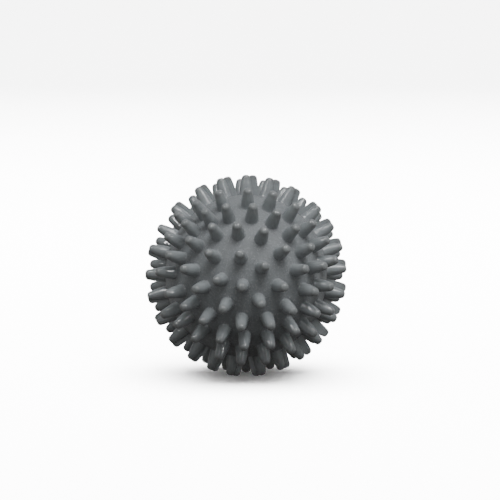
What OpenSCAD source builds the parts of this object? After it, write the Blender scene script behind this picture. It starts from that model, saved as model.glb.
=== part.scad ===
// Spiky sensory ball of soft vinyl. Two half shells, each moulded in one with its spikes, meet
// at a seam and hold air. A stopper in the rear shell closes the air valve.
// The ball is laid out about its own centre, seen from the front along +Y, with the seam in
// the XZ plane. It is then leaned back and lifted until it stands on its three lowest tips.

/* [Ball] */
// Diameter over the tips of the spikes
ball_d = 90; // [70:1:120]
// Wall of the two half shells
wall = 2.6; // [2:0.1:4]

/* [Spikes] */
// How far a spike stands out of the body
spike_h = 9; // [6:0.5:11]
// Diameter of a spike just above its foot
spike_base_d = 5.7; // [4.5:0.1:6.6]
// Diameter of a spike just below its round tip
spike_tip_d = 4.1; // [3:0.1:4.4]
// Diameter of the small flat on a tip
tip_flat_d = 0.8; // [0.6:0.1:2]
// Width and height of the slope round the foot of a spike
foot_r = 0.5; // [0.3:0.1:0.8]

/* [Seam] */
// How far the lip of the rear shell reaches into the front shell
lip_l = 3; // [2:0.5:5]
// Room for the weld between the lip and the front shell
weld_gap = 0.1; // [0.05:0.05:0.2]

/* [Air valve] */
// Diameter of the air hole that the stopper closes
air_hole_d = 3.2; // [2.6:0.1:3.6]
// Outer diameter of the valve bush where it passes through the wall
bush_d = 6.4; // [5.6:0.1:7]
// Diameter of the bush's flange, which lies sunk in the shell
bush_flange_d = 10; // [9:0.1:11]
// Thickness of that flange
bush_flange_t = 1.2; // [1:0.1:1.4]
// How far the bush reaches into the ball from the top of its flange
bush_l = 7; // [6:0.5:10]
// Room between the bush and the shell
bush_gap = 0.05; // [0.02:0.01:0.1]
// Diameter of the stopper's head
stopper_head_d = 7.6; // [7:0.1:8.4]
// Thickness of the stopper's head
stopper_head_t = 1.4; // [1:0.1:1.6]
// Length of the stopper's stem below its head
stopper_stem_l = 7.5; // [6:0.5:10]
// Room round the stopper's stem and under its head
stopper_gap = 0.04; // [0.02:0.01:0.1]
// Height of the pull rib across the stopper's head
pull_rib_h = 0.6; // [0.3:0.1:0.8]
// Width of that rib
pull_rib_w = 1.4; // [1:0.1:2]

/* [Hidden] */

ball_r = ball_d/2;
body_r = ball_r - spike_h;
inner_r = body_r - wall;
tip_edge_r = (spike_tip_d - tip_flat_d)/2;
foot_out_r = spike_base_d/2 + foot_r;
// The body falls away under the foot of a spike by this much, and the foot ends below that
foot_fall = body_r - sqrt(pow(body_r, 2) - pow(foot_out_r, 2));
spike_root = wall/2;
lip_step = 0.2;
ball_fn = 96;
spike_fn = 32;

// Where the tips of the front spikes stand, seen straight from the front: right and up of the
// centre, as shares of the ball's radius. One line is one row of the ball, from the top down.
front_tip_shares = [
    [[-0.27, 0.83], [0.02, 0.85], [0.27, 0.82]],
    [[-0.50, 0.73], [-0.20, 0.69], [0.07, 0.69], [0.50, 0.70]],
    [[-0.69, 0.62], [-0.41, 0.64], [0.31, 0.63]],
    [[-0.61, 0.53], [-0.34, 0.49], [-0.09, 0.50], [0.18, 0.45], [0.50, 0.48], [0.67, 0.53]],
    [[-0.79, 0.40], [-0.57, 0.36], [0.40, 0.27], [0.65, 0.29], [0.81, 0.36]],
    [[-0.77, 0.21], [-0.37, 0.23], [-0.06, 0.22], [0.19, 0.10], [0.59, 0.07], [0.78, 0.10]],
    [[-0.88, 0.04], [-0.62, 0.07], [-0.29, -0.04], [-0.04, -0.11], [0.38, -0.11], [0.90, 0.16]],
    [[-0.78, -0.18], [-0.50, -0.13], [0.15, -0.28], [0.69, -0.16], [0.85, -0.11]],
    [[-0.62, -0.31], [-0.23, -0.33], [0.47, -0.35], [0.71, -0.38], [0.86, -0.36]],
    [[-0.83, -0.39], [-0.43, -0.45], [-0.05, -0.51], [0.25, -0.50], [0.50, -0.56]],
    [[-0.69, -0.49], [-0.26, -0.64], [-0.02, -0.71], [0.25, -0.70], [0.68, -0.58]],
    [[-0.51, -0.63], [-0.27, -0.81], [0.20, -0.86], [0.46, -0.75]],
    [[-0.05, -0.87]],
];

// Each shell also has a row of spikes cut in half by the seam. The two rows were not laid out
// alike, so the halves stand beside each other in pairs. Angles go round from the right.
front_seam_turns = [
    4, 17, 30, 43, 62, 76, 90, 105, 119, 137, 151, 164, 179,
    192, 208, 221, 236, 249, 261, 279, 291, 304, 318, 334, 349,
];
rear_seam_turns = [
    7, 20, 33, 46, 59, 72, 86, 101, 116, 134, 151, 166, 180,
    194, 206, 224, 238, 251, 264, 276, 294, 309, 324, 339, 353,
];
// The ball stands on two spikes of the seam. This counts the rear list's spikes before the
// first of them, and the other is next to it.
rest_spike_count = 18;
// Angle between the seam and the first whole row of rear spikes
first_rear_row = 15;
// Angle of each other rear row from the rear pole, and its count of spikes
rear_row_angles = [61, 46, 31, 16];
rear_row_counts = [21, 17, 12, 6];

// Direction of a place that lies turn degrees round the seam and back degrees behind it
function seam_place(turn, back) = [cos(turn)*cos(back), sin(back), sin(turn)*cos(back)];
// Direction of a place given as it is seen from the front
function front_place(share) = [share[0], -sqrt(1 - pow(share[0], 2) - pow(share[1], 2)), share[1]];
// Angle half way from one turn to the next, going up through zero
function between(a, b) = (a + b + (b < a ? 360 : 0))/2;

front_places = concat(
    [for (row = front_tip_shares, share = row) front_place(share)],
    [for (turn = front_seam_turns) seam_place(turn, 0)]
);
seam_count = len(rear_seam_turns);
first_rear_turns = [
    for (i = [0:seam_count - 1])
        between(rear_seam_turns[i], rear_seam_turns[(i + 1)%seam_count])
];
rear_places = concat(
    [for (turn = rear_seam_turns) seam_place(turn, 0)],
    [for (turn = first_rear_turns) seam_place(turn, first_rear_row)],
    [
        for (row = [0:len(rear_row_angles) - 1], i = [0:rear_row_counts[row] - 1])
            seam_place((i + 0.5)*360/rear_row_counts[row], 90 - rear_row_angles[row])
    ]
);

// Outline of a spike from its root in the wall, over its foot, up its side and round its tip
tip_points = [
    for (t = [0:45:90]) [tip_flat_d/2 + tip_edge_r*cos(t), spike_h - tip_edge_r + tip_edge_r*sin(t)]
];
spike_outline = concat(
    [[0, -spike_root], [foot_out_r, -spike_root], [foot_out_r, -foot_fall - foot_r/2]],
    [[spike_base_d/2, foot_r]],
    tip_points,
    [[0, spike_h]]
);

// The ball stands on two seam spikes and on the spike behind and between them. It leans back
// until all three are equally low.
rest_half_turn = (rear_seam_turns[rest_spike_count + 1] - rear_seam_turns[rest_spike_count])/2;
lean = atan((cos(rest_half_turn) - cos(first_rear_row))/sin(first_rear_row));
rest_tilt = acos(cos(rest_half_turn)*cos(lean));
// A tilted tip touches the floor with the lowest point of its outline
centre_height = max([for (p = tip_points) (body_r + p[1])*cos(rest_tilt) + p[0]*sin(rest_tilt)]);

// Turns what points up to point along a direction, and sets it out that far from the centre
module along(direction, out) {
    rotate([0, acos(direction[2]), atan2(direction[1], direction[0])])
        translate([0, 0, out])
            children();
}

// One spike, standing on the body
module spike() {
    rotate_extrude($fn = spike_fn)
        polygon(spike_outline);
}

// The half of space in front of the seam
module front_space() {
    translate([-ball_d, -2*ball_d, -ball_d])
        cube(2*ball_d);
}

// The body with a set of whole spikes, still solid and not yet cut at the seam
module spiked_body(places) {
    rotate([90, 0, 0])
        sphere(r = body_r, $fn = ball_fn);
    for (place = places)
        along(place, body_r)
            spike();
}

// A cylinder about the axis through both poles, from one depth to another
module across(r, from, to) {
    translate([0, from, 0])
        rotate([-90, 0, 0])
            cylinder(r = r, h = to - from, $fn = ball_fn);
}

// Sets the ball on the floor, leaned back on its three lowest tips
module at_rest() {
    translate([0, 0, centre_height])
        rotate([-lean, 0, 0])
            children();
}

// The lip is half as thick as the wall, less a small step on its inside
lip_out_r = body_r - wall/2;
lip_in_r = inner_r + lip_step;

// Front half shell. Its rim is thinned inside, where the lip of the rear shell goes.
module front_shell() {
    color([0.36, 0.38, 0.40])
        at_rest()
            difference() {
                intersection() {
                    spiked_body(front_places);
                    front_space();
                }
                sphere(r = inner_r, $fn = ball_fn);
                across(lip_out_r + weld_gap, -lip_l - weld_gap, wall);
            }
}

// Where the top of the valve bush's flange lies: sunk until its edge is level with the body
flange_top = sqrt(pow(body_r, 2) - pow(bush_flange_d/2, 2));

// Rear half shell, with the lip that goes into the front shell and the seat of the valve bush
module rear_shell() {
    color([0.36, 0.38, 0.40])
        at_rest()
            difference() {
                union() {
                    difference() {
                        spiked_body(rear_places);
                        front_space();
                    }
                    across(lip_out_r, -lip_l, wall/2);
                }
                sphere(r = inner_r, $fn = ball_fn);
                across(lip_in_r, -lip_l - weld_gap, 0);
                across(bush_flange_d/2 + bush_gap, flange_top - bush_flange_t, ball_r);
                across(bush_d/2 + bush_gap, 0, ball_r);
            }
}

stopper_seat = flange_top - stopper_head_t/2;

// Bush of the air valve, sunk in the rear shell at its pole
module valve_bush() {
    color([0.30, 0.31, 0.33])
        at_rest()
            difference() {
                union() {
                    across(bush_flange_d/2, flange_top - bush_flange_t, flange_top);
                    across(bush_d/2, flange_top - bush_l, flange_top);
                }
                across(air_hole_d/2, 0, ball_r);
                across(stopper_head_d/2 + stopper_gap, stopper_seat, ball_r);
            }
}

// Stopper of the air valve, pulled out by its rib to let air in or out
module valve_stopper() {
    stem_r = air_hole_d/2 - stopper_gap;
    head_low = stopper_seat + stopper_gap;
    head_high = head_low + stopper_head_t;
    color([0.25, 0.26, 0.28])
        at_rest()
            union() {
                across(stem_r, head_low - stopper_stem_l, head_high);
                across(stopper_head_d/2, head_low, head_high);
                translate([-stopper_head_d/2 + pull_rib_w, head_low, -pull_rib_w/2])
                    cube([stopper_head_d - 2*pull_rib_w, stopper_head_t + pull_rib_h, pull_rib_w]);
            }
}

front_shell();
rear_shell();
valve_bush();
valve_stopper();
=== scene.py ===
# %% [markdown]
# # A spiky sensory ball
# The real ball is blown up like a beach toy, but its wall is thick soft vinyl. It is moulded
# as two half shells, spikes and all, and the halves are welded together at a seam.
# We load the measured solids first, and then model a finer skin over them.

# %% Load the measured solids
import math

import bpy
import numpy as np
from mathutils import Matrix, Vector


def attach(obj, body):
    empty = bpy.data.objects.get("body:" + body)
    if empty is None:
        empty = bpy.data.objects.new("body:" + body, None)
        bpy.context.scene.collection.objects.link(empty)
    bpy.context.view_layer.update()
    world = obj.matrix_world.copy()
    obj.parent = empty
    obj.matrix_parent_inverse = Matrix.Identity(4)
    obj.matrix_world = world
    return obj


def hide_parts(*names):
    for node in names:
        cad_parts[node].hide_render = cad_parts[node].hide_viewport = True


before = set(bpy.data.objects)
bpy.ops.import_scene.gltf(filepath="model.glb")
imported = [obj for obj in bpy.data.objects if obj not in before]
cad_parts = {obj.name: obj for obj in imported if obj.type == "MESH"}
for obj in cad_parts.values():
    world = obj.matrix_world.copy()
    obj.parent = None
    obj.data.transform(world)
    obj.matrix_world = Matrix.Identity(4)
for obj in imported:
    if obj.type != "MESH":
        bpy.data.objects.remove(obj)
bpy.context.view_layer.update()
MM = 0.001

# %% [markdown]
# ## Sizes
# A reader who models from a drawing writes the sizes down once, at the top. These are the
# sizes of the measured solids, in metres, apart from the spikes and the groove. A spike's
# radius is 0.1 mm more above its foot and 0.05 mm less below its tip, its sides bulge by
# 0.2 mm, and its foot is rounded. The groove marks the seam and isn't in the solids.

# %% Sizes of the ball
BALL_R = 45*MM
BODY_R = 36*MM
INNER_R = 33.4*MM
SPIKE_BASE_R = 2.95*MM
SPIKE_TIP_R = 2.0*MM
TIP_FLAT_R = 0.4*MM
TIP_EDGE_R = SPIKE_TIP_R - TIP_FLAT_R
FOOT_FILLET_R = 0.35*MM
SPIKE_BELLY = 0.2*MM
LIP_OUT_R = 34.7*MM
LIP_IN_R = 33.6*MM
LIP_LENGTH = 3*MM
WELD_GAP = 0.1*MM
GROOVE = 0.15*MM

# %% Sizes of the air valve
FLANGE_R = 5*MM
FLANGE_TOP = math.sqrt(BODY_R**2 - FLANGE_R**2)
FLANGE_T = 1.2*MM
BUSH_R = 3.2*MM
BUSH_LENGTH = 7*MM
AIR_HOLE_R = 1.6*MM
SEAT_ROOM = 0.05*MM
STOPPER_HEAD_R = 3.8*MM
STOPPER_HEAD_T = 1.4*MM
STOPPER_STEM = 7.5*MM
STOPPER_ROOM = 0.04*MM
RIB_H = 0.6*MM
RIB_W = 1.4*MM

# %% [markdown]
# ## Where the spikes stand
# No simple rule fits the front: its rows are uneven, as if laid out by hand. So the front is a
# table of the tips seen straight from the front. Some are moved by a hundredth or two, to keep
# the feet apart. Along the seam each half has its own row of half spikes, and the two rows don't
# line up. The rear isn't seen, and a few even rings stand in for it.

# %% Places of the spikes
FRONT_TIP_SHARES = [
    [(-0.27, 0.83), (0.02, 0.85), (0.27, 0.82)],
    [(-0.50, 0.73), (-0.20, 0.69), (0.07, 0.69), (0.50, 0.70)],
    [(-0.69, 0.62), (-0.41, 0.64), (0.31, 0.63)],
    [(-0.61, 0.53), (-0.34, 0.49), (-0.09, 0.50), (0.18, 0.45), (0.50, 0.48), (0.67, 0.53)],
    [(-0.79, 0.40), (-0.57, 0.36), (0.40, 0.27), (0.65, 0.29), (0.81, 0.36)],
    [(-0.77, 0.21), (-0.37, 0.23), (-0.06, 0.22), (0.19, 0.10), (0.59, 0.07), (0.78, 0.10)],
    [(-0.88, 0.04), (-0.62, 0.07), (-0.29, -0.04), (-0.04, -0.11), (0.38, -0.11), (0.90, 0.16)],
    [(-0.78, -0.18), (-0.50, -0.13), (0.15, -0.28), (0.69, -0.16), (0.85, -0.11)],
    [(-0.62, -0.31), (-0.23, -0.33), (0.47, -0.35), (0.71, -0.38), (0.86, -0.36)],
    [(-0.83, -0.39), (-0.43, -0.45), (-0.05, -0.51), (0.25, -0.50), (0.50, -0.56)],
    [(-0.69, -0.49), (-0.26, -0.64), (-0.02, -0.71), (0.25, -0.70), (0.68, -0.58)],
    [(-0.51, -0.63), (-0.27, -0.81), (0.20, -0.86), (0.46, -0.75)],
    [(-0.05, -0.87)],
]
FRONT_SEAM_TURNS = [
    4, 17, 30, 43, 62, 76, 90, 105, 119, 137, 151, 164, 179,
    192, 208, 221, 236, 249, 261, 279, 291, 304, 318, 334, 349,
]
REAR_SEAM_TURNS = [
    7, 20, 33, 46, 59, 72, 86, 101, 116, 134, 151, 166, 180,
    194, 206, 224, 238, 251, 264, 276, 294, 309, 324, 339, 353,
]
REST_SPIKES = (18, 19)
FIRST_REAR_ROW = 15
REAR_RINGS = [(61, 21), (46, 17), (31, 12), (16, 6)]


def seam_place(turn, back):
    """Direction of a place turn degrees round the seam and back degrees behind it."""
    turn, back = math.radians(turn), math.radians(back)
    return Vector((math.cos(turn)*math.cos(back), math.sin(back), math.sin(turn)*math.cos(back)))


def front_place(right, up):
    """Direction of a place given as it is seen from the front."""
    return Vector((right, -math.sqrt(1 - right**2 - up**2), up))


front_seam = [seam_place(turn, 0) for turn in FRONT_SEAM_TURNS]
front_whole = [front_place(*share) for row in FRONT_TIP_SHARES for share in row]
rear_seam = [seam_place(turn, 0) for turn in REAR_SEAM_TURNS]
next_turns = REAR_SEAM_TURNS[1:] + [REAR_SEAM_TURNS[0] + 360]
rear_whole = [seam_place((a + b)/2, FIRST_REAR_ROW) for a, b in zip(REAR_SEAM_TURNS, next_turns)]
for tilt, count in REAR_RINGS:
    rear_whole += [seam_place((i + 0.5)*360/count, 90 - tilt) for i in range(count)]
print("whole spikes:", len(front_whole), "in front,", len(rear_whole), "behind; half spikes:",
      len(front_seam), "and", len(rear_seam))

# %% [markdown]
# ## How the ball stands
# It can't balance on a round body: it leans back until two spikes of the seam and one behind
# them touch the floor. The pieces are modelled upright about the ball's centre, where every
# size is simple, and this one matrix then puts them where the measured solids are.

# %% The resting pose
rest_half_turn = math.radians(REAR_SEAM_TURNS[REST_SPIKES[1]] - REAR_SEAM_TURNS[REST_SPIKES[0]])/2
first_row = math.radians(FIRST_REAR_ROW)
LEAN = math.atan((math.cos(rest_half_turn) - math.cos(first_row))/math.sin(first_row))
rest_tilt = math.acos(math.cos(rest_half_turn)*math.cos(LEAN))
CENTRE_HEIGHT = BALL_R*math.cos(rest_tilt) + TIP_FLAT_R*math.sin(rest_tilt)
REST = Matrix.Translation((0, 0, CENTRE_HEIGHT)) @ Matrix.Rotation(-LEAN, 4, "X")
print("lean, degrees:", round(math.degrees(LEAN), 2),
      "centre height, mm:", round(CENTRE_HEIGHT/MM, 2))

# %% [markdown]
# ## Helpers for modelling by hand
# Each operator acts on what is selected, as a mouse click would. So before each one we clear
# the selection and pick faces or edges in code, by their place or their normal.

# %% Selecting and editing helpers
SMOOTH_BELOW = math.radians(50)


def only(obj):
    """Makes obj the only selected object, and the active one."""
    bpy.ops.object.select_all(action="DESELECT")
    obj.select_set(True)
    bpy.context.view_layer.objects.active = obj


def edit(obj, select="FACE"):
    """Starts editing obj with nothing selected."""
    only(obj)
    bpy.ops.object.mode_set(mode="EDIT")
    bpy.ops.mesh.select_mode(type=select)
    bpy.ops.mesh.select_all(action="DESELECT")


def pick(kind, test):
    """Selects the faces, edges or vertices of the edited mesh that pass the test."""
    obj = bpy.context.view_layer.objects.active
    bpy.ops.mesh.select_all(action="DESELECT")
    bpy.ops.object.mode_set(mode="OBJECT")
    found = 0
    for item in getattr(obj.data, kind):
        if test(item):
            item.select = True
            found += 1
    bpy.ops.object.mode_set(mode="EDIT")
    return found


def aimed(direction):
    """A turn whose Z axis points along the direction, and whose X axis leans to the rear."""
    z = direction.normalized()
    near_pole = abs(z.y) >= 0.9
    side = Vector((1, 0, 0)) if near_pole else Vector((0, 1, 0))
    x = (side - z*side.dot(z)).normalized()
    return Matrix((x, z.cross(x), z)).transposed()


def settle(obj, name):
    """Names a finished piece and puts its resting place into its mesh."""
    obj.name = obj.data.name = name
    obj.matrix_world = REST
    only(obj)
    bpy.ops.object.transform_apply(location=True, rotation=True, scale=True)
    bpy.ops.object.shade_smooth_by_angle(angle=SMOOTH_BELOW)
    print(name, "has", len(obj.data.polygons), "faces")


# %% [markdown]
# ## The outline of a spike
# Seen from the side, a spike rises from the body in a small hollow curve, runs up in a slight
# taper and ends in a round tip with a small flat. The outline is a list of radius and height,
# and each step of it will become one ring of faces.

# %% Outline of a spike
ROOT_ANGLE = math.asin((SPIKE_BASE_R + FOOT_FILLET_R)/(BODY_R + FOOT_FILLET_R))
TAPER = math.atan((SPIKE_BASE_R - SPIKE_TIP_R)/(BALL_R - BODY_R - TIP_EDGE_R - FOOT_FILLET_R))
FOOT_STEPS = 3
SIDE_STEPS = 3
TIP_STEPS = 5

foot_middle = Vector((math.sin(ROOT_ANGLE), math.cos(ROOT_ANGLE)))*(BODY_R + FOOT_FILLET_R)
outline = []
for i in range(FOOT_STEPS + 1):
    angle = ROOT_ANGLE + (math.pi/2 - TAPER - ROOT_ANGLE)*i/FOOT_STEPS
    outline.append(foot_middle - Vector((math.sin(angle), math.cos(angle)))*FOOT_FILLET_R)
foot_top = outline[-1]
tip_start = Vector((TIP_FLAT_R + TIP_EDGE_R*math.cos(TAPER),
                    BALL_R - TIP_EDGE_R + TIP_EDGE_R*math.sin(TAPER)))
for i in range(1, SIDE_STEPS):
    share = i/SIDE_STEPS
    belly = Vector((SPIKE_BELLY*math.sin(math.pi*share), 0))
    outline.append(foot_top.lerp(tip_start, share) + belly)
for i in range(TIP_STEPS + 1):
    angle = TAPER + (math.pi/2 - TAPER)*i/TIP_STEPS
    outline.append(Vector((TIP_FLAT_R + TIP_EDGE_R*math.cos(angle),
                           BALL_R - TIP_EDGE_R + TIP_EDGE_R*math.sin(angle))))
print("outline, mm:", [(round(p.x/MM, 2), round(p.y/MM, 2)) for p in outline])

# %% [markdown]
# ## The skin of a half shell
# Modelling a hundred spikes one by one and joining them by Boolean leaves ragged joints. Here
# all of them grow out of one mesh instead. We scatter points over the ball, lay a ring of
# points round the foot of each spike, and wrap a convex hull round them all. Each ring becomes
# one flat round face. Inset then shrinks and lifts all those faces at once, step by step along
# the outline, and the spikes stand there with no joint at all.

# %% Growing spikes out of a ball
FOOT_SIDES = 24
VALVE_SIDES = 48
BALL_POINTS_LEVEL = 5
CLEAR_OF_FOOT = 0.9*MM


def disc_on_ball(direction, radius, sides):
    """Adds a ring of points to the edited mesh, where a disc of that radius cuts the ball."""
    height = math.sqrt(BODY_R**2 - radius**2)
    bpy.ops.mesh.primitive_circle_add(
        vertices=sides, radius=radius, fill_type="NOTHING",
        location=direction*height, rotation=aimed(direction).to_euler())


def face_limit(radius, sides):
    """Angle from a disc's axis that lies between its own triangles and the ones round it."""
    outermost_middle = (1 + 2*math.cos(math.tau/sides))/3
    limit = outermost_middle + (1 - outermost_middle)*0.4
    return math.asin(radius/BODY_R*limit)


def wrapped_ball(discs):
    """A ball of many faces, with one flat round face for each (direction, radius, sides)."""
    bpy.ops.mesh.primitive_ico_sphere_add(subdivisions=BALL_POINTS_LEVEL, radius=BODY_R)
    ball = bpy.context.object
    ways = np.array([d[0] for d in discs])
    reach = np.cos([math.asin((d[1] + CLEAR_OF_FOOT)/BODY_R) for d in discs])
    edit(ball, "VERT")
    pick("vertices", lambda v: bool((ways @ np.array(v.co.normalized()) > reach).any()))
    bpy.ops.mesh.delete(type="VERT")
    for disc in discs:
        disc_on_ball(*disc)
    bpy.ops.mesh.select_all(action="SELECT")
    bpy.ops.mesh.convex_hull(join_triangles=False)
    bpy.ops.mesh.select_mode(type="FACE")
    inside = np.cos([face_limit(d[1], d[2]) for d in discs])
    pick("polygons", lambda f: bool((ways @ np.array(f.center.normalized()) > inside).any()))
    bpy.ops.mesh.dissolve_faces()
    return ball


def raise_faces(path):
    """Insets and lifts the selected round faces along a path of radius and height."""
    for a, b in zip(path, path[1:]):
        bpy.ops.mesh.inset(thickness=a.x - b.x, depth=b.y - a.y, use_individual=True)


def spiked_ball(places, more=()):
    """A ball with a spike at each place, still in edit mode. More discs may be left flat."""
    foot_r = outline[0].x
    ball = wrapped_ball([(place, foot_r, FOOT_SIDES) for place in places] + list(more))
    print("spikes raised:", pick("polygons", lambda f: len(f.vertices) == FOOT_SIDES),
          "of", len(places))
    raise_faces(outline)
    return ball


# %% [markdown]
# ## Making it hollow
# A half shell is cut from the ball with a bisect at the seam. Its inner side starts as a ring
# on the seam plane, which is extruded and shrunk ring by ring: first the step for the lip,
# then down the inside of the ball to the pole. Filling the flat gap between the cut outline
# and that ring closes the rim.

# %% Cutting at the seam and lining the inside
INNER_STEPS = 14
SEAM_EPS = 0.001*MM
ON_PLANE = 10*SEAM_EPS
MERGE = 0.005*MM


def ring_step(y, radius, last):
    """Extrudes the selected ring along Y to a new radius, given the last (y, radius)."""
    bpy.ops.mesh.extrude_edges_move(TRANSFORM_OT_translate={"value": (0, y - last[0], 0)})
    share = radius/last[1]
    bpy.ops.transform.resize(value=(share, 1, share), center_override=(0, y, 0))
    return y, radius


def open_edges():
    """Selects the edges that have a face on one side only."""
    bpy.ops.mesh.select_all(action="DESELECT")
    bpy.ops.mesh.select_non_manifold(extend=False, use_wire=False, use_boundary=True,
                                     use_multi_face=False, use_non_contiguous=False,
                                     use_verts=False)


def keep_selected(test):
    """Of the selected edges, keeps those whose two ends pass the test, and counts them."""
    obj = bpy.context.view_layer.objects.active
    bpy.ops.object.mode_set(mode="OBJECT")
    points = obj.data.vertices
    kept = 0
    for edge in obj.data.edges:
        edge.select = edge.select and all(test(points[v].co) for v in edge.vertices)
        kept += edge.select
    bpy.ops.object.mode_set(mode="EDIT")
    return kept


def cut_at_seam(side):
    """Keeps the half in front of the seam (side -1) or behind it (side 1), with a fine bevel."""
    bpy.ops.mesh.select_all(action="SELECT")
    bpy.ops.mesh.bisect(plane_co=(0, side*GROOVE, 0), plane_no=(0, -side, 0), clear_outer=True,
                        threshold=SEAM_EPS)
    bpy.ops.mesh.select_mode(type="EDGE")
    open_edges()
    keep_selected(lambda p: abs(p.y - side*GROOVE) < ON_PLANE)
    ring_step(0, BODY_R - GROOVE, (side*GROOVE, BODY_R))


def line_inside(side, steps, pole_r):
    """Adds the inner wall: a ring on the seam, the steps of the lip, and the round inside."""
    bpy.ops.mesh.select_all(action="DESELECT")
    bpy.ops.mesh.primitive_circle_add(vertices=VALVE_SIDES, radius=steps[0][1],
                                      location=(0, 0, 0), rotation=(math.pi/2, 0, 0))
    last = steps[0]
    for y, radius in steps[1:]:
        last = ring_step(y, radius, last)
    start = math.acos(min(1, last[1]/INNER_R))
    stop = math.acos(pole_r/INNER_R)
    for i in range(1, INNER_STEPS + 1):
        angle = start + (stop - start)*i/INNER_STEPS
        last = ring_step(side*INNER_R*math.sin(angle), INNER_R*math.cos(angle), last)


def close_rim():
    """Fills the flat gap on the seam between the cut outline and the ring inside it."""
    open_edges()
    kept = keep_selected(lambda p: abs(p.y) < ON_PLANE)
    bpy.ops.mesh.fill(use_beauty=True)
    return kept


def finish_shell(obj):
    """Merges doubles, turns the faces outwards and reports how closed the mesh is."""
    bpy.ops.mesh.select_mode(type="VERT")
    bpy.ops.mesh.select_all(action="SELECT")
    bpy.ops.mesh.remove_doubles(threshold=MERGE)
    bpy.ops.mesh.normals_make_consistent(inside=False)
    bpy.ops.mesh.select_all(action="DESELECT")
    bpy.ops.mesh.select_non_manifold(extend=False)
    bpy.ops.object.mode_set(mode="OBJECT")
    print("open places:", sum(v.select for v in obj.data.vertices))


# %% The front shell
front = spiked_ball(front_whole + front_seam)
cut_at_seam(-1)
FRONT_POLE_R = 1*MM
REBATE_R = LIP_OUT_R + WELD_GAP
REBATE_Y = -(LIP_LENGTH + WELD_GAP)
rebate_end = math.sqrt(INNER_R**2 - REBATE_Y**2)
line_inside(-1, [(0, REBATE_R), (REBATE_Y, REBATE_R), (REBATE_Y, rebate_end)], FRONT_POLE_R)
bpy.ops.mesh.edge_face_add()
print("edges round the rim:", close_rim())
finish_shell(front)
settle(front, "front_skin")

# %% [markdown]
# ## The rear shell
# It is made in the same way, with two differences. Its lip stands forward of the seam, and at
# its pole a round seat is sunk for the air valve, with a hole through to the inside. The seat
# starts as one more flat disc on the ball.

# %% The rear shell
REAR_POLE = Vector((0, 1, 0))
SEAT_R = FLANGE_R + SEAT_ROOM
NECK_HOLE_R = BUSH_R + SEAT_ROOM
rear = spiked_ball(rear_whole + rear_seam, [(REAR_POLE, SEAT_R, VALVE_SIDES)])
print("faces sunk into the valve's seat:",
      pick("polygons", lambda f: len(f.vertices) == VALVE_SIDES and f.normal.y > 0.99))
seat_edge = math.sqrt(BODY_R**2 - SEAT_R**2)
seat_floor = FLANGE_TOP - FLANGE_T
hole_end = math.sqrt(INNER_R**2 - NECK_HOLE_R**2)
bpy.ops.mesh.extrude_region_move(TRANSFORM_OT_translate={"value": (0, seat_floor - seat_edge, 0)})
bpy.ops.mesh.inset(thickness=(SEAT_R - NECK_HOLE_R)*math.cos(math.pi/VALVE_SIDES))
bpy.ops.mesh.extrude_region_move(TRANSFORM_OT_translate={"value": (0, hole_end - seat_floor, 0)})
bpy.ops.mesh.delete(type="ONLY_FACE")
cut_at_seam(1)
line_inside(1, [(0, LIP_OUT_R), (-LIP_LENGTH, LIP_OUT_R), (-LIP_LENGTH, LIP_IN_R),
                (0, LIP_IN_R), (0, INNER_R)], NECK_HOLE_R)
print("edges round the rim:", close_rim())
finish_shell(rear)
settle(rear, "rear_skin")

# %% [markdown]
# ## The valve bush
# The air goes in through a small firm bush, which is glued into the soft shell so that the hole
# keeps its shape. It is a turned shape: a sleeve, a flange and a round seat for the stopper's
# head. We walk one ring of edges round its outline, back to where it began, and then round off
# every sharp edge with a small bevel, as a mould does.

# %% Turned pieces
EDGE_ROUND = 0.14*MM
EDGE_STEPS = 3
SHARP = math.radians(40)


def turned(profile, closed):
    """A piece turned about the ball's axis: a ring if the profile is closed, else capped."""
    bpy.ops.object.select_all(action="DESELECT")
    bpy.ops.mesh.primitive_circle_add(
        vertices=VALVE_SIDES, radius=profile[0][1], fill_type="NOTHING" if closed else "NGON",
        location=(0, profile[0][0], 0), rotation=(math.pi/2, 0, 0))
    piece = bpy.context.object
    bpy.ops.object.transform_apply(location=True, rotation=True, scale=True)
    bpy.ops.object.mode_set(mode="EDIT")
    bpy.ops.mesh.select_mode(type="EDGE")
    bpy.ops.mesh.select_all(action="SELECT")
    last = profile[0]
    for step in profile[1:] + profile[:1]*closed:
        last = ring_step(*step, last)
    if not closed:
        bpy.ops.mesh.edge_face_add()
    return piece


def round_edges(piece):
    """Merges doubles, bevels the sharp edges and leaves edit mode."""
    finish_shell(piece)
    edit(piece, "EDGE")
    bpy.ops.mesh.edges_select_sharp(sharpness=SHARP)
    bpy.ops.mesh.bevel(offset=EDGE_ROUND, segments=EDGE_STEPS, affect="EDGES",
                       clamp_overlap=True)
    bpy.ops.object.mode_set(mode="OBJECT")


# %% The bush
SEAT_FACE = FLANGE_TOP - STOPPER_HEAD_T/2
SEAT_HOLE_R = STOPPER_HEAD_R + STOPPER_ROOM
bush = turned([
    (FLANGE_TOP - BUSH_LENGTH, AIR_HOLE_R), (FLANGE_TOP - BUSH_LENGTH, BUSH_R),
    (FLANGE_TOP - FLANGE_T, BUSH_R), (FLANGE_TOP - FLANGE_T, FLANGE_R), (FLANGE_TOP, FLANGE_R),
    (FLANGE_TOP, SEAT_HOLE_R), (SEAT_FACE, SEAT_HOLE_R), (SEAT_FACE, AIR_HOLE_R)], True)
round_edges(bush)
settle(bush, "bush_skin")

# %% [markdown]
# ## The stopper
# The stopper is a pin with a flat head, and a finger nail pulls it out by the rib across its
# head. The head's top is one round face. Four bisects mark out a bar on it, and that bar is
# extruded into the rib.

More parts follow.
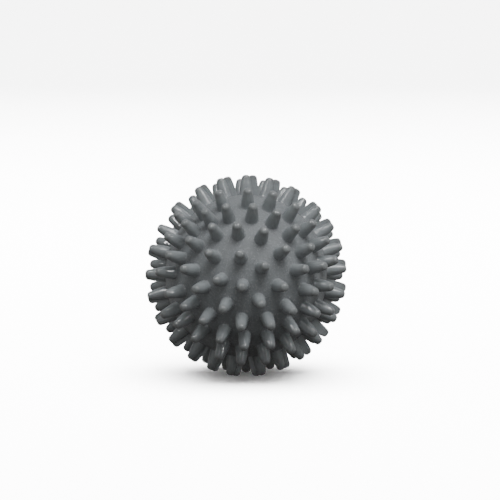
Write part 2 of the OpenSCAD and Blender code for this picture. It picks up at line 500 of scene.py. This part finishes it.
# %% The stopper
HEAD_LOW = SEAT_FACE + STOPPER_ROOM
HEAD_TOP = HEAD_LOW + STOPPER_HEAD_T
RIB_REACH = STOPPER_HEAD_R - RIB_W
STEM_R = AIR_HOLE_R - STOPPER_ROOM
stopper = turned([(HEAD_LOW - STOPPER_STEM, STEM_R), (HEAD_LOW, STEM_R),
                  (HEAD_LOW, STOPPER_HEAD_R), (HEAD_TOP, STOPPER_HEAD_R)], False)


def on_top(face):
    """Whether a face lies in the flat top of the stopper's head."""
    return abs(face.center.y - HEAD_TOP) < ON_PLANE


for place, way in (((0, 0, RIB_W/2), (0, 0, 1)), ((0, 0, -RIB_W/2), (0, 0, 1)),
                   ((RIB_REACH, 0, 0), (1, 0, 0)), ((-RIB_REACH, 0, 0), (1, 0, 0))):
    bpy.ops.mesh.select_mode(type="FACE")
    pick("polygons", on_top)
    bpy.ops.mesh.bisect(plane_co=place, plane_no=way, threshold=SEAM_EPS)
bpy.ops.mesh.select_mode(type="FACE")
bars = pick("polygons", lambda f: on_top(f) and abs(f.center.x) < RIB_REACH/2 and
            abs(f.center.z) < RIB_W/4)
bpy.ops.mesh.extrude_region_move(TRANSFORM_OT_translate={"value": (0, RIB_H, 0)})
print("faces raised into the rib:", bars)
round_edges(stopper)
settle(stopper, "stopper_skin")

# %% Hand the pieces to the frame
for skin, node, body, slot in (
        (front, "front_shell", "ball", "soft_vinyl"), (rear, "rear_shell", "ball", "soft_vinyl"),
        (bush, "valve_bush", "ball", "valve"), (stopper, "valve_stopper", "stopper", "valve")):
    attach(skin, body)
    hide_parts(node)

# %% [markdown]
# ## The floor
# A pale sheet that runs flat under the ball and far behind it curves up into a wall, as in a
# photographer's sweep, so no horizon shows. Just below it lies a round dark card, which only
# the ball sees. On the real floor the ball's own shadow keeps its underside dark. Here the sweep
# is lit apart from the ball, so the card does what that shadow would do.

# %% The sweep
FLOOR_SIZE = 8
WALL_BEND = 1.5
BEND_STEPS = 16
CARD_R = 75*MM
CARD_SIDES = 64
CARD_DEPTH = 2*MM
bpy.ops.object.select_all(action="DESELECT")
bpy.ops.mesh.primitive_plane_add(size=FLOOR_SIZE, location=(0, 0, 0))
sweep = bpy.context.object
edit(sweep, "EDGE")
pick("edges", lambda e: all(sweep.data.vertices[v].co.y > 0 for v in e.vertices))
bpy.ops.mesh.extrude_edges_move(TRANSFORM_OT_translate={"value": (0, 0, FLOOR_SIZE/2)})
pick("edges", lambda e: all(abs(sweep.data.vertices[v].co.z) < MM and
                            sweep.data.vertices[v].co.y > 0 for v in e.vertices))
bpy.ops.mesh.bevel(offset=WALL_BEND, segments=BEND_STEPS)
bpy.ops.object.mode_set(mode="OBJECT")
bpy.ops.object.shade_smooth()
sweep.name = "sweep"
bpy.ops.mesh.primitive_circle_add(vertices=CARD_SIDES, radius=CARD_R, fill_type="NGON",
                                  location=(0, 0, -CARD_DEPTH))
card = bpy.context.object
card.name = "dark card"

# %% [markdown]
# ## Shader maths
# A material is a graph of small nodes, and sums in it are hard to read as wires. Here a socket
# is wrapped in a class that knows plus, minus and times, so a sum is written as a sum. Every
# other node comes from one method, which takes its type, its settings and what feeds it.

# %% Two small classes for materials


class Level:
    """A value that varies over the surface, for use in sums."""

    def __init__(self, finish, socket):
        self.finish = finish
        self.socket = socket

    def sum_node(self, operation, first, second):
        return self.finish.node("ShaderNodeMath", {"operation": operation}, {0: first, 1: second})

    def __add__(self, other):
        return self.sum_node("ADD", self, other)

    def __sub__(self, other):
        return self.sum_node("SUBTRACT", self, other)

    def __rsub__(self, other):
        return self.sum_node("SUBTRACT", other, self)

    def __mul__(self, other):
        return self.sum_node("MULTIPLY", self, other)

    __radd__ = __add__


class Nodes:
    """A tree of nodes, with the one method that adds a node to it."""

    def __init__(self, tree):
        self.tree = tree

    def feed(self, sockets, values):
        for key, value in values.items():
            if isinstance(value, Level):
                self.tree.links.new(value.socket, sockets[key])
            else:
                sockets[key].default_value = value

    def node(self, kind, settings, values, out=0):
        made = self.tree.nodes.new(kind)
        for key, value in settings.items():
            setattr(made, key, value)
        self.feed(made.inputs, values)
        return Level(self, made.outputs[out])

    def ramp(self, value, low, high):
        """Rises smoothly from 0 to 1 while the value goes from low to high."""
        return self.node("ShaderNodeMapRange", {"interpolation_type": "SMOOTHSTEP"},
                         {"Value": value, "From Min": low, "From Max": high})

    def mix(self, share, first, second):
        """A colour between two others."""
        return self.node("ShaderNodeMix", {"data_type": "RGBA"},
                         {0: share, 6: first, 7: second}, 2)


class Finish(Nodes):
    """A material with a Principled shader."""

    def __init__(self, name):
        self.material = bpy.data.materials.new(name)
        self.material.use_nodes = True
        super().__init__(self.material.node_tree)
        self.shader = self.tree.nodes["Principled BSDF"]

    def place(self):
        """Where a point of the surface is, in metres from the ball's centre."""
        here = self.node("ShaderNodeTexCoord", {}, {}, "Object")
        return self.node("ShaderNodeVectorMath", {"operation": "SUBTRACT"},
                         {0: here, 1: (0, 0, CENTRE_HEIGHT)})

    def grain(self, place, size, detail=2.0, roughness=0.5):
        """Noise about a half, with features of that size in metres."""
        return self.node("ShaderNodeTexNoise", {}, {"Vector": place, "Scale": 1/size,
                                                    "Detail": detail, "Roughness": roughness})


# %% [markdown]
# ## The soft vinyl
# Body and spikes are one moulding, but they don't look the same. The body has the fine matte
# grain of the mould's blasted wall, with pale specks. The spikes are drilled holes in the mould,
# and come out smoother, with a thin gloss that draws fine bright lines along them. That gloss is
# a coat over a rough ground. How far a point is from the ball's centre tells which of the two it
# is on, so one material does both, with masks made from that distance.

# %% Soft vinyl
BODY_COLOUR = (0.121, 0.131, 0.137, 1)
SPIKE_COLOUR = (0.158, 0.173, 0.180, 1)
# Painted shade: the tips are painted darker than the shafts, to tone down the bright caps that
# the lights make on them.
TIP_PAINTED_SHADE = (0.126, 0.136, 0.139, 1)
PALE_SPECK = (0.230, 0.243, 0.250, 1)
SPECK_SHARE = 0.45
MOTTLE_SIZE = 5*MM
MOTTLE_DEPTH = 0.22
GRAIN_SIZE = 0.9*MM
BODY_ROUGHNESS = 0.56
SPIKE_ROUGHER = 0.3
GRAIN_ROUGHER = 0.16
SPIKE_GLOSS = 0.6
TIP_LESS_GLOSS = 0.25

vinyl = Finish("soft vinyl")
place = vinyl.place()
out = vinyl.node("ShaderNodeVectorMath", {"operation": "LENGTH"}, {0: place}, "Value")
on_spike = vinyl.ramp(out, BODY_R + 0.02*MM, BODY_R + 0.5*MM)
on_tip = vinyl.ramp(out, BALL_R - 3.5*MM, BALL_R - 0.5*MM)
mottle = vinyl.grain(place, MOTTLE_SIZE, 3.0)
fine = vinyl.grain(place, GRAIN_SIZE, 3.0, 0.7)
speck = vinyl.ramp(fine, 0.5, 0.72)

body_colour = vinyl.mix((speck*SPECK_SHARE)*(1 - on_spike), BODY_COLOUR, PALE_SPECK)
# Towards the tips the spike colour turns to the darker painted shade.
spike_colour = vinyl.mix(on_tip, SPIKE_COLOUR, TIP_PAINTED_SHADE)
colour = vinyl.mix(on_spike, body_colour, spike_colour)
shade = mottle*MOTTLE_DEPTH + (1 - MOTTLE_DEPTH/2)
colour = vinyl.node("ShaderNodeVectorMath", {"operation": "SCALE"}, {0: colour, "Scale": shade})
roughness = BODY_ROUGHNESS + on_spike*SPIKE_ROUGHER + (fine - 0.5)*GRAIN_ROUGHER
bump = vinyl.node("ShaderNodeBump", {}, {"Strength": 0.7, "Distance": 0.2*MM,
                                         "Height": fine*(1 - on_spike) + mottle*0.4})
vinyl.feed(vinyl.shader.inputs, {
    "Base Color": colour, "Roughness": roughness, "Specular IOR Level": 0.15, "Normal": bump,
    "Coat Weight": on_spike*SPIKE_GLOSS - on_tip*TIP_LESS_GLOSS, "Coat Roughness": 0.05,
    "Subsurface Weight": 0.2, "Subsurface Radius": (1, 1, 1), "Subsurface Scale": 2*MM})
for skin in (front, rear):
    skin.data.materials.append(vinyl.material)
print("nodes in the vinyl:", len(vinyl.tree.nodes))

# %% [markdown]
# ## The valve's plastic
# The bush and the stopper are a firmer, slightly darker plastic with a plain satin surface.
# Only a faint unevenness of colour and gloss keeps it from looking like a computer's grey.

# %% Valve plastic
VALVE_COLOUR = (0.072, 0.078, 0.083, 1)
VALVE_PALE = (0.100, 0.106, 0.111, 1)

firm = Finish("valve plastic")
place = firm.place()
cloud = firm.grain(place, 1.8*MM, 3.0)
dust = firm.grain(place, 0.2*MM, 2.0)
bump = firm.node("ShaderNodeBump", {}, {"Strength": 0.2, "Distance": 0.03*MM, "Height": dust})
firm.feed(firm.shader.inputs, {
    "Base Color": firm.mix(cloud, VALVE_COLOUR, VALVE_PALE), "Roughness": 0.34 + cloud*0.16,
    "Normal": bump})
for skin in (bush, stopper):
    skin.data.materials.append(firm.material)

# %% [markdown]
# ## The sweep's white
# A studio sweep is lit on its own, so that it burns out to white. Most of that comes from its two
# lights, and a little glow of its own evens it. The ball doesn't see the sweep, because its
# white would wash out the dark undersides of the spikes. It sees the card below it.

# %% Sweep white
WARM = (1, 0.94, 0.88)
SWEEP_GLOW = 0.04
# The card's faint warm glow is painted bounce light: it stands in for the warm light that the lit
# floor in front would throw up onto the ball's underside.
CARD_PAINTED_BOUNCE = 0.12

paper = Finish("sweep white")
fibre = paper.grain(paper.node("ShaderNodeTexCoord", {}, {}, "Object"), 0.4)
paper.feed(paper.shader.inputs, {
    "Base Color": paper.mix(fibre, (0.88, 0.88, 0.88, 1), (0.92, 0.92, 0.92, 1)),
    "Roughness": 0.9, "Emission Color": (1, 1, 1, 1), "Emission Strength": SWEEP_GLOW})
sweep.data.materials.append(paper.material)

black = Finish("card black")
fibre = black.grain(black.node("ShaderNodeTexCoord", {}, {}, "Object"), 0.01)
black.feed(black.shader.inputs, {
    "Base Color": black.mix(fibre, (0.02, 0.02, 0.02, 1), (0.03, 0.03, 0.03, 1)),
    "Roughness": 0.9, "Emission Color": (*WARM, 1), "Emission Strength": CARD_PAINTED_BOUNCE})
card.data.materials.append(black.material)
sweep.visible_glossy = False
sweep.visible_diffuse = False

# %% [markdown]
# ## Light
# One large soft box, above, in front and a little to the right, gives the soft shading. A long
# narrow light and two tall ones at the sides show only as reflections: they draw the small
# glints on the tips and the fine bright lines along the spikes. The sweep has two lights of its
# own, which reach nothing else.

# %% Lights


def soft_light(name, place, width, height, power, aim=(0, 0, CENTRE_HEIGHT)):
    """An area light that looks at the ball, or where it is aimed."""
    bpy.ops.object.light_add(type="AREA", location=place)
    lamp = bpy.context.object
    lamp.name = name
    lamp.data.shape = "RECTANGLE"
    lamp.data.size = width
    lamp.data.size_y = height
    lamp.data.energy = power
    way = Vector(aim) - Vector(place)
    lamp.rotation_euler = way.to_track_quat("-Z", "Y").to_euler()
    return lamp


soft_light("top light", (0.34, -0.66, 1.34), width=1.0, height=0.8, power=29)
glints = [soft_light("long light", (0, -0.95, 1.0), width=2.2, height=0.08, power=7)]
for side in (-1, 1):
    glints.append(soft_light("strip light", (side*0.62, -0.62, 1.05),
                             width=0.07, height=1.2, power=20))
for lamp in glints:
    lamp.visible_diffuse = False

only_floor = bpy.data.collections.new("only the sweep")
only_floor.objects.link(sweep)
floor_light = soft_light("floor light", (0, 0.1, 2.2), width=2.6, height=2.6, power=800,
                         aim=(0, 0.1, 0))
wall_light = soft_light("wall light", (0, 0.8, 2.6), width=3, height=3, power=600,
                        aim=(0, 4, 0.8))
for lamp in (floor_light, wall_light):
    lamp.light_linking.receiver_collection = only_floor

# %% [markdown]
# ## The room
# A white room lights the ball from all sides, brightest from level and weakest from below, where
# the floor lies in the ball's shadow. How high a direction points sets both how bright and how
# warm the room is there.

# %% The room
SKY_DOWN = 0.23
SKY_LEVEL = 0.72
SKY_UP = 0.60

world = bpy.data.worlds.new("studio")
bpy.context.scene.world = world
world.use_nodes = True
sky = Nodes(world.node_tree)
way = sky.node("ShaderNodeTexCoord", {}, {}, "Generated")
rise = sky.node("ShaderNodeSeparateXYZ", {}, {"Vector": way}, "Z")
below = sky.ramp(rise, -0.75, 0.1)*(SKY_LEVEL - SKY_DOWN)
strength = SKY_DOWN + below + sky.ramp(rise, 0.0, 1.0)*(SKY_UP - SKY_LEVEL)
colour = sky.mix(sky.ramp(rise, -0.6, 0.1), (*WARM, 1), (1, 1, 1, 1))
sky.feed(world.node_tree.nodes["Background"].inputs, {"Color": colour, "Strength": strength})

# %% [markdown]
# ## Camera
# The picture was taken with a long lens from a little above the ball, almost in line with the
# front pole. The ball's radius in picture points tells how large one point is at the ball, and
# that and the distance give the lens.

# %% Camera
CAMERA_DISTANCE = 1.25
CAMERA_RISE = math.radians(6.8)
PICTURE = 500
BALL_R_PX = 100.8
PIXEL = BALL_R/BALL_R_PX
SENSOR = 36
FAR_CLIP = 50
BALL_RIGHT_PX = -4
BALL_DOWN_PX = 25.5

bpy.ops.object.camera_add()
camera = bpy.context.object
camera.name = "camera"
middle = Vector((0, 0, CENTRE_HEIGHT))
way_back = Vector((0, -math.cos(CAMERA_RISE), math.sin(CAMERA_RISE)))
camera.location = middle + way_back*CAMERA_DISTANCE
up = Vector((0, math.sin(CAMERA_RISE), math.cos(CAMERA_RISE)))
target = middle + up*BALL_DOWN_PX*PIXEL - Vector((BALL_RIGHT_PX*PIXEL, 0, 0))
camera.rotation_euler = (target - camera.location).to_track_quat("-Z", "Y").to_euler()
camera.data.sensor_width = SENSOR
camera.data.lens = SENSOR*CAMERA_DISTANCE/(PICTURE*PIXEL)
camera.data.clip_end = FAR_CLIP
bpy.context.scene.camera = camera
